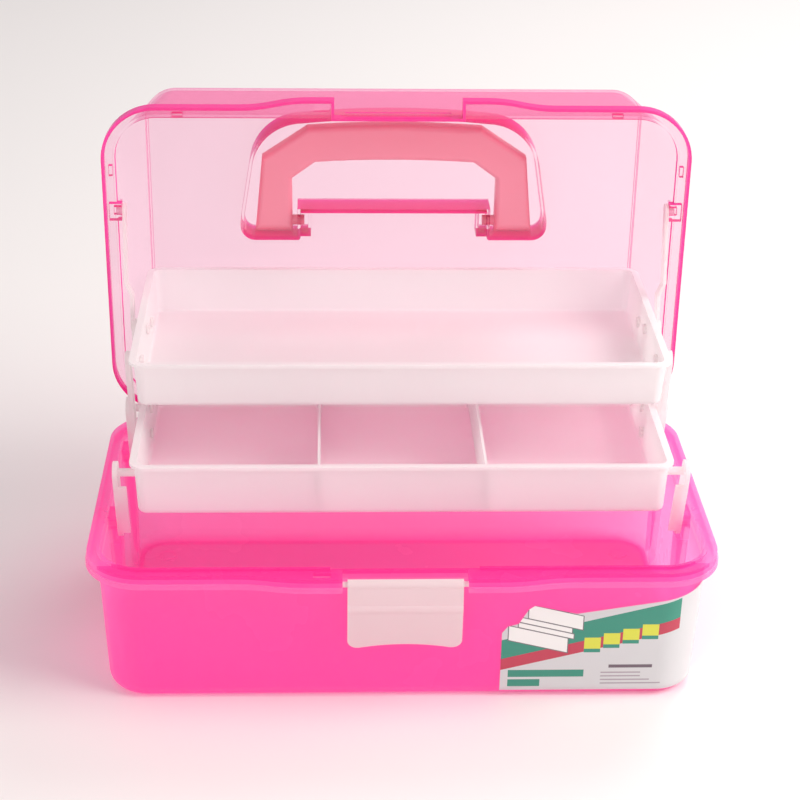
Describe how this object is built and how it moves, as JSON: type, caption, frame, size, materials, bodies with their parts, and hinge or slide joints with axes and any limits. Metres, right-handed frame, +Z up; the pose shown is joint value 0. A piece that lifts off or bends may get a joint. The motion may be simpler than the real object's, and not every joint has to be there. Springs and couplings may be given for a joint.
{
  "type": "art supply box",
  "caption": "Translucent plastic carry box with a hinged lid, fold-down handle, front latch and cantilever trays that rise as the lid opens.",
  "frame": {"origin": "centre of the flat underside of the tub", "axes": "+Z up, -Y the front with the latch, +X the width"},
  "size_m": [0.33, 0.2588, 0.2714],
  "materials": {
    "tub_plastic": "hot pink translucent moulded plastic",
    "lid_plastic": "clear pink moulded plastic",
    "handle_plastic": "salmon pink moulded plastic",
    "milky_plastic": "milky translucent polypropylene",
    "latch_plastic": "white polypropylene",
    "steel": "plain drawn wire",
    "label_film": "printed film label, bands of colour, no text"
  },
  "bodies": {
    "tub": {"tub": "tub_plastic", "hinge_pin_left": "steel", "hinge_pin_right": "steel", "label": "label_film"},
    "lid": {"lid": "lid_plastic"},
    "handle": {"handle": "handle_plastic"},
    "latch": {"latch": "latch_plastic"},
    "lower_front_arms": {"lower_front_arm_left": "milky_plastic", "lower_front_arm_right": "milky_plastic"},
    "lower_rear_arms": {"lower_rear_arm_left": "milky_plastic", "lower_rear_arm_right": "milky_plastic"},
    "lower_tray": {"lower_tray": "milky_plastic", "divider_left": "milky_plastic", "divider_right": "milky_plastic"},
    "upper_front_arms": {"upper_front_arm_left": "milky_plastic", "upper_front_arm_right": "milky_plastic"},
    "upper_rear_arms": {"upper_rear_arm_left": "milky_plastic", "upper_rear_arm_right": "milky_plastic"},
    "upper_tray": {"upper_tray": "milky_plastic"},
    "lid_links": {"lid_link_left": "milky_plastic", "lid_link_right": "milky_plastic"}
  },
  "joints": [
    {"name": "lid_hinge", "type": "hinge", "parent": "tub", "child": "lid", "pos_m": [0, 0.095, 0.0785], "axis": [1, 0, 0], "range_deg": [0, 89]},
    {"name": "handle_pivot", "type": "hinge", "parent": "lid", "child": "handle", "pos_m": [0, 0.14973, 0.18047], "axis": [-1, 0, 0], "range_deg": [0, 90]},
    {"name": "latch_pivot", "type": "hinge", "parent": "tub", "child": "latch", "pos_m": [0, -0.0946, 0.076], "axis": [-1, 0, 0], "range_deg": [0, 175]},
    {"name": "lower_front_arm_pivot", "type": "hinge", "parent": "tub", "child": "lower_front_arms", "pos_m": [0, -0.022, 0.07], "axis": [1, 0, 0], "range_deg": [0, 77.01]},
    {"name": "lower_rear_arm_pivot", "type": "hinge", "parent": "tub", "child": "lower_rear_arms", "pos_m": [0, 0.055, 0.07], "axis": [1, 0, 0], "range_deg": [0, 77.01]},
    {"name": "lower_tray_pivot", "type": "hinge", "parent": "lower_front_arms", "child": "lower_tray", "pos_m": [0, -0.0337, 0.10825], "axis": [1, 0, 0], "range_deg": [-77.01, 0]},
    {"name": "upper_front_arm_pivot", "type": "hinge", "parent": "lower_tray", "child": "upper_front_arms", "pos_m": [0, 0.03521, 0.0963], "axis": [1, 0, 0], "range_deg": [0, 28.01]},
    {"name": "upper_rear_arm_pivot", "type": "hinge", "parent": "lower_tray", "child": "upper_rear_arms", "pos_m": [0, 0.07661, 0.0963], "axis": [1, 0, 0], "range_deg": [0, 28.01]},
    {"name": "upper_tray_pivot", "type": "hinge", "parent": "upper_front_arms", "child": "upper_tray", "pos_m": [0, 0.02032, 0.14821], "axis": [1, 0, 0], "range_deg": [-28.01, 0]},
    {"name": "lid_link_pivot", "type": "hinge", "parent": "upper_tray", "child": "lid_links", "pos_m": [0, 0.08302, 0.143], "axis": [1, 0, 0], "range_deg": [0, 107.51]}
  ],
  "couplings": [
    {"joint": "lower_front_arm_pivot", "follows": "lid_hinge", "ratio": 0.86517},
    {"joint": "lower_rear_arm_pivot", "follows": "lid_hinge", "ratio": 0.86517},
    {"joint": "lower_tray_pivot", "follows": "lid_hinge", "ratio": -0.86517},
    {"joint": "upper_front_arm_pivot", "follows": "lid_hinge", "ratio": 0.31461},
    {"joint": "upper_rear_arm_pivot", "follows": "lid_hinge", "ratio": 0.31461},
    {"joint": "upper_tray_pivot", "follows": "lid_hinge", "ratio": -0.31461},
    {"joint": "lid_link_pivot", "follows": "lid_hinge", "ratio": 1.2079}
  ]
}
